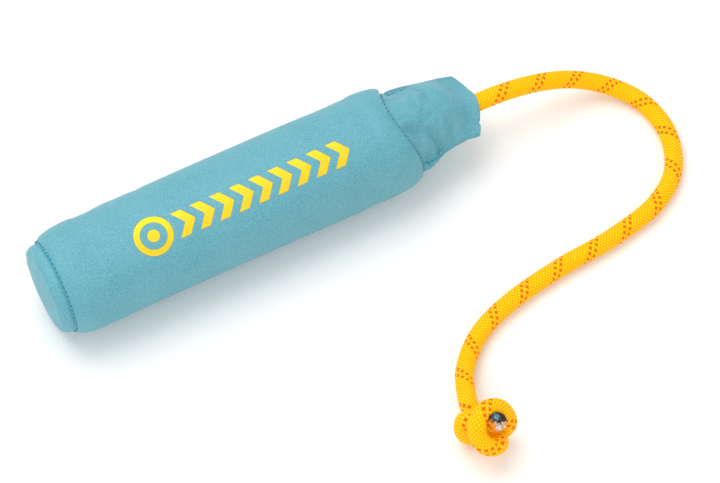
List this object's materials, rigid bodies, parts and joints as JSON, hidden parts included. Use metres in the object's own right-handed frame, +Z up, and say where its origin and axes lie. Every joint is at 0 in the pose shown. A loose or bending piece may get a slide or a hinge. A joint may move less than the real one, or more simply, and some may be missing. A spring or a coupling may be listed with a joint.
{
  "type": "training bumper",
  "caption": "Cylindrical fabric training bumper with a foam core, a tapered neck and a throwing rope that ends in a stopper knot.",
  "frame": {"origin": "on the surface the bumper lies on, below the middle of its body", "axes": "+X along the bumper towards its neck and rope, +Z up"},
  "size_m": [0.3593, 0.2188, 0.0596],
  "materials": {
    "fabric": "woven",
    "foam": "closed-cell foam",
    "thread": "sewn",
    "rope": "braided",
    "melted_end": "melted"
  },
  "bodies": {
    "root": {"cover_tube": "fabric", "foam_core": "foam", "end_panel": "fabric", "neck_sleeve": "fabric", "end_seam_stitching": "thread", "shoulder_stitching": "thread", "tuck_stitching_left": "thread", "tuck_stitching_right": "thread", "mouth_stitching_left": "thread", "mouth_stitching_right": "thread", "back_seam_lap": "fabric", "back_seam_stitching_upper": "thread", "back_seam_stitching_lower": "thread", "throw_rope": "rope", "rope_tail": "rope", "anchor_knot": "rope", "stopper_knot": "rope", "rope_cut_end": "melted_end"}
  },
  "joints": []
}
